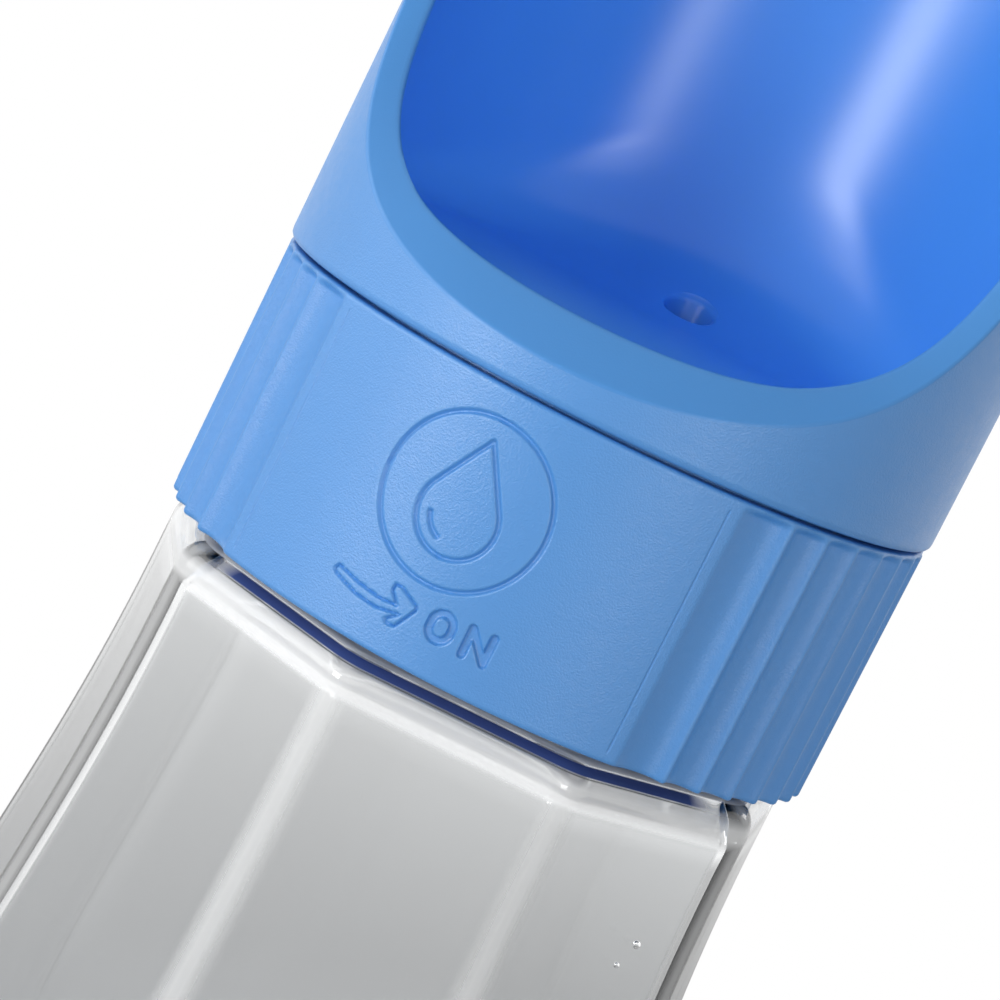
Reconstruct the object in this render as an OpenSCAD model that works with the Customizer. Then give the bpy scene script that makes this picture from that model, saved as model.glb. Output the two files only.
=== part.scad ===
// Dog travel water bottle: a clear nine-sided bottle, a screw-on head with a
// drinking bowl, and a fluted collar that turns a rotary valve inside the head.
// Units are millimetres. +Z is up, the bottle's base is at z = 0 and the bowl
// opens towards -Y. Heights named _h inside the bowl count from the seam
// between collar and bowl.

/* [Bottle] */
// Height from the base to the top of the shoulder
bottle_h = 101; // [80:1:140]
// Radius over the rounded corners at the shoulder
shoulder_r = 36.1; // [34:0.1:38]
// How far the corners swell out below the shoulder
swell = 4.4; // [0:0.1:6]
// Number of flat sides
side_count = 9; // [8:1:12]
// Angle of the first flat side from the front
side_turn = 12.7; // [-20:0.1:20]
// Wall thickness of the bottle
bottle_wall = 2.2; // [1.6:0.1:3]
// Outer radius of the neck without its thread
neck_r = 27; // [26:0.1:27.4]
// Height of the neck above the shoulder
neck_h = 18; // [14:0.5:20]
// Wall thickness of the neck
neck_wall = 2.4; // [2:0.1:2.6]

/* [Collar] */
// Outer radius of the twist collar
collar_r = 36.5; // [36:0.1:38]
// Height of the twist collar
collar_h = 28.6; // [26:0.1:32]
// Wall thickness of the twist collar
collar_wall = 2.2; // [1.8:0.1:2.4]
// Number of finger flutes
flute_count = 37; // [20:1:40]
// Width of the smooth front panel, as an angle
panel_angle = 78; // [60:1:100]
// Depth of each flute
flute_depth = 0.6; // [0.3:0.05:0.8]
// How far the collar turns from closed to open
valve_turn = 60; // [40:5:70]

/* [Bowl] */
// Height of the bowl above the seam
bowl_h = 84; // [78:1:95]
// Outer radius of the bowl
bowl_r = 36.8; // [36.5:0.1:38]
// Wall thickness of the bowl
bowl_wall = 3; // [2.2:0.1:3.4]
// Height of the drinking floor above the seam
floor_h = 7.5; // [7:0.1:10]
// Height at which the domed top begins
dome_start_h = 56; // [45:1:62]
// Height of the front lip's outer edge
lip_h = 3.65; // [3:0.05:5]
// Height of the front lip's inner edge
crest_h = 8; // [7.8:0.05:11]
// Radius of the water port
port_r = 2.8; // [2:0.1:3]
// Distance of the water port behind the axis
port_y = 21.5; // [20:0.1:21.5]

/* [Hidden] */
$fn = 128;
eps = 0.01;
run_gap = 0.3;       // clear space between bodies that move past each other
seal_gap = 0.1;      // what is left of a seal's squeeze
fit_gap = 0.05;      // radial play of a turning fit

// Bottle
corner_angle = 180 / side_count;
corner_soft = 0.5;   // how much the round corners stand inside the sharp ones
shoulder_soft = 2;   // radius where the sides meet the shoulder
base_soft = 4.5;     // radius where the sides meet the base
base_slim = 1.5;     // how much slimmer the base is than the widest place
widest_z = 34;       // height of the widest place
push_up_r = 25;      // radius of the recess under the base
push_up_h = 2.2;     // depth of that recess
round_steps = 9;     // steps in height of the rounded corners
flat_steps = 8;      // and of the flat sides
edge_steps = 4;
slab = 60;           // half-width of the slabs that cut the flat sides
mouth_soft = 0.6;
neck_z = bottle_h + neck_h;

// Stack of the head, upwards from the bottle's mouth
gasket_t = 1.4;
plate_t = 2.4;
disc_t = 2.4;
collar_gap = 1;                      // between shoulder and collar
seam_gap = 0.4;                      // between collar and bowl
plate_z = neck_z + 2 * seal_gap + gasket_t;
plate_top = plate_z + plate_t;
disc_z = plate_top + run_gap;
disc_top = disc_z + disc_t;
spigot_z = disc_top + run_gap;
collar_z = bottle_h + collar_gap;
seam_z = collar_z + collar_h + seam_gap;

// Threaded valve base
thread_space = 1.3;                  // radial room for the thread
skirt_r = neck_r + thread_space;
skirt_wall = 2;
skirt_low = 3.2;                     // the skirt ends this far above the shoulder
flange_r = 33.6;
hub_r = 5;
hub_rise = 2.1;

// Collar inside
collar_in_r = collar_r - collar_wall;
ledge_r = 31.6;
ledge_t = 1.2;
key_count = 4;
key_w = 5;
key_depth = 1.7;
collar_chamfer = 0.5;
flute_pitch = (360 - panel_angle) / flute_count;
ridge_w = 0.7;                       // flat crest between two flutes
flute_w = collar_r * flute_pitch * PI / 180 - ridge_w;
flute_r = (pow(flute_w / 2, 2) + pow(flute_depth, 2)) / (2 * flute_depth);

// Screws that join bowl and valve base through the disc's slots
screw_ring_r = 12.5;
screw_angles = [90, 210, 330];
screw_r = 1.25;
screw_head_r = 2.4;
screw_head_t = 1.7;
screw_socket_r = 1.0;
boss_r = 2.9;
pad_r = 4.2;                         // thick pad under the plate at each screw
pad_t = 1.8;
slot_end_extra = 0.15;               // the slots' ends are this much wider than the slots
washer_t = 0.8;
screw_len = 15;

// Port seals
seal_r = 4.6;
seal_t = 1.4;
port_tube_r = 6;

// Bowl
spigot_r = 33.9;
spigot_wall = 2.6;
bowl_edge = 0.8;                     // small round at the bowl's lower edge
floor_t = 3;
cavity_r = bowl_r - bowl_wall;
cavity_soft = 4;                     // radius where floor and wall meet
dome_rise = bowl_h - dome_start_h;
dome_steps = 14;
rim_lean = 0.3;                      // steady lean of the rim, back per up
rim_sweep_in = 16.5;                 // extra sweep back of the inner edge
rim_soft_in = 8;
rim_soft_out = 10.5;
rim_start_in = -33.6;
rim_sweep_out = bowl_r + rim_start_in + rim_sweep_in + rim_lean * (lip_h - crest_h);
rim_over = 5;                        // how far the rim cutter runs past the wall
lip_angles = [0 : 6 : 48];           // where the rim is worked out: round the lip,
side_heights = [14.5 : 5 : 69.5];    // up the sides
top_angles = [97, 104, 113, 125, 140, 160, 180]; // and over the top
sweep_y = 11.6;                      // where the floor begins to rise at the back
sweep_r = 29;
rib_count = 6;
rib_t = 1.4;

// ---------------------------------------------------------------- helpers

function arc(cx, cy, r, a0, a1, n) =
    [for (i = [0 : n]) let (a = a0 + (a1 - a0) * i / n) [cx + r * cos(a), cy + r * sin(a)]];

function bisect(f, low, high, n = 26) =
    let (mid = (low + high) / 2)
    n == 0 ? mid : f(mid) > 0 ? bisect(f, low, mid, n - 1) : bisect(f, mid, high, n - 1);

module at_port() {
    translate([0, port_y, 0]) children();
}

module at_screw(angle) {
    rotate(angle) translate([screw_ring_r, 0, 0]) children();
}

module tube(outer, inner, z0, z1) {
    translate([0, 0, z0]) difference() {
        cylinder(r = outer, h = z1 - z0);
        translate([0, 0, -1]) cylinder(r = inner, h = z1 - z0 + 2);
    }
}

// ----------------------------------------------------------------- bottle

// Radius over the corners at height z: it swells below the shoulder and
// draws in a little towards the base.
function corner_r(z) =
    let (t = (bottle_h - z) / (bottle_h - widest_z))
    t < 1 ? shoulder_r + swell * (1 - cos(180 * pow(t, 1.25))) / 2
          : shoulder_r + swell - base_slim * pow((widest_z - z) / widest_z, 2);

function flat_r(z) = (corner_r(z) + corner_soft) * cos(corner_angle);

// Half outline of the bottle, inset by a wall thickness, from base to shoulder
function bottle_profile(inset, low, high, along, steps) = concat(
    arc(along(low + base_soft) - inset - base_soft, low + base_soft, base_soft, -90, 0, edge_steps),
    [for (i = [1 : steps - 1])
        let (z = low + base_soft + (high - low - base_soft - shoulder_soft) * i / steps)
        [along(z) - inset, z]],
    arc(along(high - shoulder_soft) - inset - shoulder_soft, high - shoulder_soft,
        shoulder_soft, 0, 90, edge_steps));

module bottle_body(inset, low, high) {
    flats = concat([[-slab, low]],
                   bottle_profile(inset, low, high, function (z) flat_r(z), flat_steps),
                   [[-slab, high]]);
    rounds = concat([[0, low]],
                    bottle_profile(inset, low, high, function (z) corner_r(z), round_steps),
                    [[0, high]]);
    intersection() {
        rotate_extrude() polygon(rounds);
        intersection_for (i = [0 : side_count - 1])
            rotate(i * 360 / side_count + side_turn - 90)
                rotate([90, 0, 0])
                    translate([0, 0, -slab])
                        linear_extrude(2 * slab) polygon(flats);
    }
}

module bottle() {
    bore_r = neck_r - neck_wall;
    color([0.86, 0.90, 0.92, 0.45]) difference() {
        union() {
            bottle_body(0, 0, bottle_h);
            rotate_extrude() polygon([
                [0, bottle_h - 1], [neck_r + 0.8, bottle_h - 1], [neck_r + 0.8, bottle_h],
                [neck_r, bottle_h + 0.8], [neck_r, neck_z - mouth_soft],
                [neck_r - mouth_soft, neck_z], [0, neck_z]]);
        }
        bottle_body(bottle_wall, bottle_wall + push_up_h, bottle_h - bottle_wall);
        translate([0, 0, bottle_h - 2 * bottle_wall]) cylinder(r = bore_r, h = neck_h + 10);
        rotate_extrude() polygon([[0, -1], [push_up_r, -1], [push_up_r, 0],
                                  [push_up_r - 3, push_up_h * 0.7], [0, push_up_h]]);
    }
}

// ------------------------------------------------------------ valve parts

module neck_gasket() {
    color("whitesmoke")
        tube(neck_r + 0.4, neck_r - neck_wall + 0.3, neck_z + seal_gap, neck_z + seal_gap + gasket_t);
}

module valve_base() {
    color([0.80, 0.86, 0.93]) difference() {
        union() {
            rotate_extrude() polygon([
                [0, plate_z], [skirt_r, plate_z], [skirt_r, bottle_h + skirt_low + 0.8],
                [skirt_r + 0.8, bottle_h + skirt_low], [skirt_r + skirt_wall, bottle_h + skirt_low],
                [skirt_r + skirt_wall, plate_z], [flange_r, plate_z],
                [flange_r, plate_top], [0, plate_top]]);
            translate([0, 0, plate_top - eps]) cylinder(r = hub_r, h = hub_rise);
            for (a = screw_angles)
                at_screw(a) translate([0, 0, plate_z - pad_t]) cylinder(r = pad_r, h = pad_t + eps);
        }
        for (a = screw_angles)
            at_screw(a) translate([0, 0, plate_z - pad_t - 1]) cylinder(r = screw_r + 0.1, h = 10);
        at_port() translate([0, 0, plate_z - 1]) cylinder(r = port_r, h = 10);
        at_port() translate([0, 0, plate_top - seal_t]) cylinder(r = seal_r, h = 10);
    }
}

module base_port_seal() {
    color("ivory") at_port()
        tube(seal_r, port_r, plate_top - seal_t, disc_z - seal_gap);
}

module bowl_port_seal() {
    color("ivory") at_port()
        tube(seal_r, port_r, disc_top + seal_gap, spigot_z + seal_t);
}

// Slot that lets a screw boss pass while the disc turns
module boss_slot(angle) {
    slot_r = boss_r + run_gap;
    end_r = slot_r + slot_end_extra;
    translate([0, 0, disc_z - 1]) linear_extrude(disc_t + 2) {
        rotate(angle) translate([screw_ring_r, 0]) circle(end_r);
        rotate(angle - valve_turn) translate([screw_ring_r, 0]) circle(end_r);
        difference() {
            circle(screw_ring_r + slot_r);
            circle(screw_ring_r - slot_r);
            rotate(angle) translate([-slab, 0]) square(2 * slab);
            rotate(angle - valve_turn + 180) translate([-slab, 0]) square(2 * slab);
        }
    }
}

module valve_disc() {
    rim_r = collar_in_r - 0.1;
    color("lightsteelblue") difference() {
        rotate_extrude() polygon([
            [hub_r + fit_gap, disc_z], [ledge_r - 0.1, disc_z], [ledge_r - 0.1, disc_z + ledge_t],
            [rim_r, disc_z + ledge_t], [rim_r, disc_top], [hub_r + fit_gap, disc_top]]);
        for (a = screw_angles) boss_slot(a);
        rotate(-valve_turn) at_port() translate([0, 0, disc_z - 1]) cylinder(r = port_r, h = disc_t + 2);
        for (i = [0 : key_count - 1])
            rotate(45 + i * 360 / key_count)
                translate([collar_in_r - key_depth - 0.1, -key_w / 2 - 0.1, disc_z - 1])
                    cube([10, key_w + 0.2, disc_t + 2]);
    }
}

// ----------------------------------------------------------------- collar

module collar_keys() {
    for (i = [0 : key_count - 1])
        rotate(45 + i * 360 / key_count)
            translate([collar_in_r - key_depth, -key_w / 2, disc_z + ledge_t - eps])
                cube([key_depth + 0.5, key_w, disc_t - ledge_t]);
}

module twist_collar() {
    top = collar_z + collar_h;
    c = collar_chamfer;
    color("cornflowerblue") difference() {
        union() {
            rotate_extrude() polygon([
                [collar_r - c, collar_z], [collar_r, collar_z + c],
                [collar_r, top - c], [collar_r - c, top], [collar_in_r, top],
                [collar_in_r, disc_z + ledge_t], [ledge_r, disc_z + ledge_t],
                [ledge_r, disc_z], [collar_in_r, disc_z], [collar_in_r, collar_z]]);
            collar_keys();
        }
        for (i = [0 : flute_count - 1])
            rotate(-90 + panel_angle / 2 + (i + 0.5) * flute_pitch)
                translate([collar_r - flute_depth + flute_r, 0, collar_z - 1])
                    cylinder(r = flute_r, h = collar_h + 2, $fn = 48);
    }
}

// ------------------------------------------------------------------- bowl

function outer_r(h) =
    h < dome_start_h ? bowl_r : bowl_r * sqrt(max(0, 1 - pow((h - dome_start_h) / dome_rise, 2)));

function inner_r(h) =
    h < floor_h + cavity_soft
        ? cavity_r - cavity_soft + sqrt(pow(cavity_soft, 2) - pow(floor_h + cavity_soft - max(h, floor_h), 2))
        : h < dome_start_h ? cavity_r
        : cavity_r * sqrt(max(0, 1 - pow((h - dome_start_h) / (dome_rise - bowl_wall), 2)));

// Side view of the rim: how far back its edges stand at height h
function rim_y(h, start_h, start_y, sweep, soft) =
    start_y + rim_lean * (h - start_h) + sweep * (1 - exp(-(h - start_h) / soft));

function outer_edge_h(a) =
    bisect(function (h) rim_y(h, lip_h, -bowl_r, rim_sweep_out, rim_soft_out) + outer_r(h) * cos(a),
           lip_h - 0.5, bowl_h);

function inner_edge_h(a) =
    bisect(function (h) rim_y(h, crest_h, rim_start_in, rim_sweep_in, rim_soft_in) + inner_r(h) * cos(a),
           crest_h - 0.3, bowl_h - bowl_wall);

// A point at radius r, angle a from the front and height h above the seam
function polar(r, a, h) = [r * sin(a), -r * cos(a), seam_z + h];

// Angles at which the rim is worked out, from the lip round to the top
function rim_angles() = concat(
    [for (a = lip_angles) a],
    [for (h = side_heights)
        acos(-rim_y(h, lip_h, -bowl_r, rim_sweep_out, rim_soft_out) / outer_r(h))],
    [for (a = top_angles) a]);

// Section of the rim cutter at angle a: through both edges of the rim
function rim_row(a) =
    let (ho = outer_edge_h(a), hi = inner_edge_h(a),
         outer = [outer_r(ho), ho], inner = [inner_r(hi), hi],
         d = (outer - inner) / norm(outer - inner))
    [for (p = [inner - 0.6 * rim_over * d, outer + rim_over * d]) polar(p[0], a, p[1])];

// The space in front of the rim: a band through both edges of the rim,
// closed towards the front and towards the middle of the opening.
module rim_cutter() {
    half = rim_angles();
    last = len(half) - 1;
    angles = concat(half, [for (i = [last - 1 : -1 : 1]) -half[i]]);
    n = len(angles);
    points = concat([for (a = angles) each rim_row(a)],
                    [[0, -4, seam_z + bowl_h / 2], [0, -150, seam_z + bowl_h]]);
    faces = concat(
        [for (i = [0 : n - 1]) let (j = (i + 1) % n) [2 * i, 2 * j + 1, 2 * j]],
        [for (i = [0 : n - 1]) let (j = (i + 1) % n) [2 * i, 2 * i + 1, 2 * j + 1]],
        [for (i = [0 : n - 1]) let (j = (i + 1) % n) [2 * n, 2 * i, 2 * j]],
        [for (i = [0 : n - 1]) let (j = (i + 1) % n) [2 * n + 1, 2 * j + 1, 2 * i + 1]]);
    polyhedron(points, faces);
}

// Outside of the bowl with the spigot that centres the collar
module bowl_outside() {
    dome = [for (i = [0 : dome_steps]) let (t = 90 * i / dome_steps)
        [bowl_r * cos(t), dome_start_h + dome_rise * sin(t)]];
    translate([0, 0, seam_z]) rotate_extrude() polygon(concat(
        [[0, spigot_z - seam_z], [spigot_r, spigot_z - seam_z], [spigot_r, 0],
         [bowl_r - bowl_edge, 0], [bowl_r - 0.3 * bowl_edge, 0.3 * bowl_edge], [bowl_r, bowl_edge]],
        dome));
}

// The hollow that holds the water, with a floor that rises at the back
module bowl_inside() {
    dome = [for (i = [0 : dome_steps]) let (t = 90 * i / dome_steps)
        [cavity_r * cos(t), dome_start_h + (dome_rise - bowl_wall) * sin(t)]];
    sweep = arc(sweep_y, floor_h + sweep_r, sweep_r, -90, -30, 8);
    translate([0, 0, seam_z]) intersection() {
        rotate_extrude() polygon(concat(
            [[0, floor_h]],
            arc(cavity_r - cavity_soft, floor_h + cavity_soft, cavity_soft, -90, 0, edge_steps),
            dome));
        rotate([90, 0, 90]) translate([0, 0, -slab]) linear_extrude(2 * slab)
            polygon(concat([[-slab, floor_h]], sweep, [[slab, bowl_h], [-slab, bowl_h]]));
    }
}

// Cored underside with ribs, the port tube and the screw bosses
module bowl_core() {
    core_r = spigot_r - spigot_wall;
    top = seam_z + floor_h - floor_t;
    difference() {
        translate([0, 0, spigot_z - 1]) cylinder(r = core_r, h = top - spigot_z + 1);
        at_port() cylinder(r = port_tube_r, h = top + 1);
        for (a = screw_angles) at_screw(a) cylinder(r = boss_r, h = top + 1);
        for (i = [0 : rib_count - 1])
            rotate(30 + i * 360 / rib_count)
                translate([screw_ring_r, -rib_t / 2, spigot_z + 1.5]) cube([core_r, rib_t, top]);
    }
}

module bowl() {
    color("dodgerblue") difference() {
        union() {
            difference() {
                bowl_outside();
                bowl_inside();
                bowl_core();
                rim_cutter();
            }
            for (a = screw_angles)
                at_screw(a) translate([0, 0, plate_top]) cylinder(r = boss_r, h = spigot_z - plate_top + 2);
        }
        for (a = screw_angles)
            at_screw(a) translate([0, 0, plate_top - 1]) cylinder(r = screw_r, h = screw_len - 5);
        at_port() translate([0, 0, spigot_z - 1]) cylinder(r = port_r, h = 40);
        at_port() translate([0, 0, spigot_z - 1]) cylinder(r = seal_r, h = seal_t + 1);
    }
}

// ----------------------------------------------------------------- screws

module screw(angle) {
    head_z = plate_z - pad_t - washer_t;
    color("silver") at_screw(angle) difference() {
        rotate_extrude($fn = 48) polygon([
            [0, head_z - screw_head_t], [screw_head_r - 0.6, head_z - screw_head_t],
            [screw_head_r, head_z - screw_head_t + 0.6], [screw_head_r, head_z],
            [screw_r, head_z], [screw_r, head_z + screw_len - 6], [0, head_z + screw_len - 5]]);
        translate([0, 0, head_z - screw_head_t - 1]) cylinder(r = screw_socket_r, h = 2, $fn = 6);
    }
}

module screw_seal(angle) {
    low = plate_z - pad_t - washer_t;
    color("dimgray") at_screw(angle) tube(screw_head_r + 0.3, screw_r, low, low + washer_t);
}

bottle();
neck_gasket();
valve_base();
base_port_seal();
valve_disc();
bowl_port_seal();
twist_collar();
bowl();
screw(screw_angles[0]);  // screw_rear
screw(screw_angles[1]);  // screw_left
screw(screw_angles[2]);  // screw_right
screw_seal(screw_angles[0]);  // screw_seal_rear
screw_seal(screw_angles[1]);  // screw_seal_left
screw_seal(screw_angles[2]);  // screw_seal_right
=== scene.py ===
import math

import bpy
import numpy as np
from mathutils import Matrix, Vector


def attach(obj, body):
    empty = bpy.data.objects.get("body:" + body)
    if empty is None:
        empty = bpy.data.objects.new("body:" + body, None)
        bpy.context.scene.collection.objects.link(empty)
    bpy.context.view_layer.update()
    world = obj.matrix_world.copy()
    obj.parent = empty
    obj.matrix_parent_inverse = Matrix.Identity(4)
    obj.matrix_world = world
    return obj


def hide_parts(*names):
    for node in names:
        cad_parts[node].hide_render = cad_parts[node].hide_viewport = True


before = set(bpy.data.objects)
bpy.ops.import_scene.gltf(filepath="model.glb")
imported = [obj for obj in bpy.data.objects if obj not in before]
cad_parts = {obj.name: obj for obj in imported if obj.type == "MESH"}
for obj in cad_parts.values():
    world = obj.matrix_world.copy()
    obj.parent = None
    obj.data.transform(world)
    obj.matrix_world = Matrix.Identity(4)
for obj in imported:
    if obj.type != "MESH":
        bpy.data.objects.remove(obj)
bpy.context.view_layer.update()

# Dog travel water bottle. Sizes are in millimetres, in the frame of the solids, and
# become metres where a mesh is made, apart from the values in metres that say so.
# Angles named a count from the front (-Y) towards +X. Heights named h count from
# the seam under the bowl.

MM = 0.001

# ---------------------------------------------------------------- the camera

VIEW_TURN = 11.2          # how far the camera stands round from the front towards +X
CAMERA_RIGHT = -5.152     # its place beside the object's axis
CAMERA_BACK = -352.64
CAMERA_UP = 169.5
AIM_UP = 115.23           # the height that it looks at
CAMERA_ROLL = 26.44       # the bottle's top leans right in the picture
LENS, SENSOR = 122.96, 36


def camera_matrix():
    """The camera's place and turn, from the values above."""
    turn, roll = math.radians(VIEW_TURN), math.radians(CAMERA_ROLL)
    side = Vector((math.cos(turn), math.sin(turn), 0))
    away = Vector((-math.sin(turn), math.cos(turn), 0))
    place = side * CAMERA_RIGHT + away * CAMERA_BACK + Vector((0, 0, CAMERA_UP))
    aim = side * CAMERA_RIGHT + Vector((0, 0, AIM_UP))
    ahead = (aim - place).normalized()
    level = ahead.cross(Vector((0, 0, 1))).normalized()
    upward = level.cross(ahead)
    right = math.cos(roll) * level + math.sin(roll) * upward
    top = -math.sin(roll) * level + math.cos(roll) * upward
    columns = (right, top, -ahead, place * MM)
    return Matrix([[column[i] for column in columns] for i in range(3)] + [[0, 0, 0, 1]])


def add_camera():
    data = bpy.data.cameras.new("camera")
    data.lens = LENS
    data.sensor_width = SENSOR
    data.sensor_fit = "HORIZONTAL"
    data.clip_start = 0.01
    data.clip_end = 50
    camera = bpy.data.objects.new("camera", data)
    bpy.context.scene.collection.objects.link(camera)
    camera.matrix_world = camera_matrix()
    bpy.context.scene.camera = camera


add_camera()

# ------------------------------------------------------------- mesh helpers


def add_piece(name, points, faces, materials, face_slots=None, sharp=40):
    """A mesh from points in millimetres."""
    mesh = bpy.data.meshes.new(name)
    mesh.from_pydata((np.asarray(points) * MM).tolist(), [], faces)
    mesh.validate()
    for material in materials:
        mesh.materials.append(material)
    if face_slots is not None:
        mesh.polygons.foreach_set("material_index", face_slots)
    mesh.polygons.foreach_set("use_smooth", [True] * len(mesh.polygons))
    mesh.set_sharp_from_angle(angle=math.radians(sharp))
    mesh.update()
    piece = bpy.data.objects.new(name, mesh)
    bpy.context.scene.collection.objects.link(piece)
    return piece


def ride(piece, body, slot, *replaced):
    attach(piece, body)
    if replaced:
        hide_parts(*replaced)


def grid_faces(rows, columns, closed=True, first=0):
    """Quads between rows of points that run round the object."""
    faces = []
    span = columns if closed else columns - 1
    for i in range(rows - 1):
        for j in range(span):
            k = (j + 1) % columns
            low, high = first + i * columns, first + (i + 1) * columns
            faces.append((low + j, low + k, high + k, high + j))
    return faces


def loft(rings):
    """One closed skin over rings of equal length; first and last ring close to a point."""
    rings = np.asarray(rings, float)
    rows, columns = rings.shape[:2]
    points = np.vstack([rings[0].mean(axis=0)[None], rings.reshape(-1, 3),
                        rings[-1].mean(axis=0)[None]])
    faces = grid_faces(rows, columns, first=1)
    last = 1 + (rows - 1) * columns
    end = len(points) - 1
    for j in range(columns):
        k = (j + 1) % columns
        faces.append((0, 1 + k, 1 + j))
        faces.append((end, last + j, last + k))
    return points, faces


def polar(r, a, z):
    """Points at radius r, angle a in radians from the front, height z."""
    r, a, z = np.broadcast_arrays(r, a, z)
    return np.stack([r * np.sin(a), -r * np.cos(a), z], axis=-1)


def round_ring(a, r, z):
    return polar(np.full(len(a), r), a, z)


def smooth_step(x):
    x = np.clip(x, 0, 1)
    return x * x * (3 - 2 * x)


def bezier(start, corner, end, steps):
    """Points from start to end that round off the corner, rows first."""
    t = np.linspace(0, 1, steps + 1)[:, None, None]
    return (1 - t) ** 2 * start + 2 * t * (1 - t) * corner + t ** 2 * end


def unit(v):
    return v / np.linalg.norm(v, axis=-1, keepdims=True)


def join(parts):
    """Several skins as one list of points and faces."""
    points, faces, base = [], [], 0
    for p, f in parts:
        points.append(p)
        faces += [tuple(base + v for v in face) for face in f]
        base += len(p)
    return np.vstack(points), faces


# ----------------------------------------------------------------- materials

# Colours are linear RGB.
BLUE = (0.072, 0.288, 0.69)
# The hollow's glossy blue is lighter and more saturated than the outside's: painted light bounced
# round the hollow
HOLLOW_BLUE_PAINTED_BOUNCE = (0.078, 0.33, 0.86)
# Glass tint, and also the white of the bottle's painted glow
GLASS_TINT_AND_PAINTED_GLOW = (0.94, 0.95, 0.955)
# Painted reflection of the blue parts in shade, and a painted shadow line, on the bottle's shoulder
BLUE_SHADOW = (0.020, 0.050, 0.22)
LINE_SHADOW = (0.01, 0.012, 0.02)
NOISE_RANGE = (0.3, 0.7)

# The bottle's nine sides, and where its outer skin gets painted light: a painted white glow
# on the thick shoulder, under the collar and along the corners, and a painted reflection of
# the blue parts in shade with a painted shadow line round the shoulder's upper edge. A band has
# its lower and upper height and its blur in metres, and its share of the surface.
SIDES = 9
SIDE_TURN = math.radians(12.7)
HALF_SIDE = math.pi / SIDES
# Painted glow on the shoulder, painted shadow line, painted reflection of the blue parts in shade,
# painted glow under the collar
SHOULDER_BAND = (0.0967, 0.0995, 0.0008, 0.75)
LINE_BAND = (0.09968, 0.09980, 0.00004, 0.9)
BLUE_BAND = (0.09986, 0.10068, 0.00006, 0.97)
TOP_BAND = (0.10074, 0.10130, 0.00004, 0.85)
BLUE_SIDE = math.radians(11.0)                # the dark bands run round this direction
BLUE_HALF, BLUE_END = math.radians(48), math.radians(54)
# Painted glow along the corners: full share within the first angle, none past the second
CORNER_PAINTED_GLOW, CORNER_CLEAR, CORNER_SHARE = 0.012, 0.062, 0.46


class Nodes:
    """Short names for the parts of one material's node tree."""

    def __init__(self, name):
        self.material = bpy.data.materials.new(name)
        self.material.use_nodes = True
        self.tree = self.material.node_tree
        self.shader = self.tree.nodes["Principled BSDF"]
        self.place = self.tree.nodes.new("ShaderNodeTexCoord").outputs["Object"]

    def add(self, kind, values=None, **settings):
        node = self.tree.nodes.new(kind)
        for key, value in settings.items():
            setattr(node, key, value)
        for key, value in (values or {}).items():
            node.inputs[key].default_value = value
        return node

    def link(self, a, b):
        self.tree.links.new(a, b)

    def noise(self, scale, detail=2.0, rough=0.5, stretch=None):
        node = self.add("ShaderNodeTexNoise", {"Scale": scale, "Detail": detail, "Roughness": rough})
        source = self.place
        if stretch:
            mapping = self.add("ShaderNodeMapping", {"Scale": stretch})
            self.link(source, mapping.inputs["Vector"])
            source = mapping.outputs["Vector"]
        self.link(source, node.inputs["Vector"])
        return node.outputs["Fac"]

    def ramp(self, value, low, high, to_low, to_high):
        node = self.add("ShaderNodeMapRange", {
            "From Min": low, "From Max": high, "To Min": to_low, "To Max": to_high})
        self.link(value, node.inputs["Value"])
        return node.outputs["Result"]

    def spread(self, noise, to_low, to_high):
        """Maps the range that a noise mostly covers."""
        return self.ramp(noise, *NOISE_RANGE, to_low, to_high)

    def mix(self, factor, first, second):
        node = self.add("ShaderNodeMix", data_type="RGBA")
        node.inputs["A"].default_value = (*first, 1)
        node.inputs["B"].default_value = (*second, 1)
        self.link(factor, node.inputs["Factor"])
        return node.outputs["Result"]

    def bump(self, height, strength, depth, below=None):
        node = self.add("ShaderNodeBump", {"Strength": strength, "Distance": depth * MM})
        self.link(height, node.inputs["Height"])
        if below is not None:
            self.link(below, node.inputs["Normal"])
        return node.outputs["Normal"]

    def math(self, operation, first, second):
        node = self.add("ShaderNodeMath", operation=operation)
        for socket, value in zip(node.inputs, (first, second)):
            if isinstance(value, (int, float)):
                socket.default_value = value
            else:
                self.link(value, socket)
        return node.outputs[0]

    def band(self, value, low, high, blur, amount):
        """amount between low and high, 0 elsewhere, with blurred ends."""
        rise = self.ramp(value, low - blur, low + blur, 0, amount)
        return self.math("MINIMUM", rise, self.ramp(value, high - blur, high + blur, amount, 0))

    def most(self, *values):
        top = values[0]
        for value in values[1:]:
            top = self.math("MAXIMUM", top, value)
        return top

    def set(self, **values):
        for key, value in values.items():
            self.shader.inputs[key.replace("_", " ")].default_value = value


def shade(color, factor):
    return tuple(min(1, c * factor) for c in color)


def blue_plastic(name, color, rough_low, rough_high, grain, depth, shine=0.5):
    """Moulded polypropylene: slow colour drift, fine grain, faint specks."""
    m = Nodes(name)
    drift = m.spread(m.noise(28, 3), 0, 1)
    m.link(m.mix(drift, shade(color, 0.97), shade(color, 1.03)), m.shader.inputs["Base Color"])
    m.link(m.spread(m.noise(900, 3), rough_low, rough_high), m.shader.inputs["Roughness"])
    fine = m.bump(m.noise(grain, 2, 0.6), 0.6, depth)
    flow = m.bump(m.noise(120, 2), 0.25, depth * 2, fine)
    m.link(flow, m.shader.inputs["Normal"])
    m.set(IOR=1.49, Specular_IOR_Level=shine)
    return m.material


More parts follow.
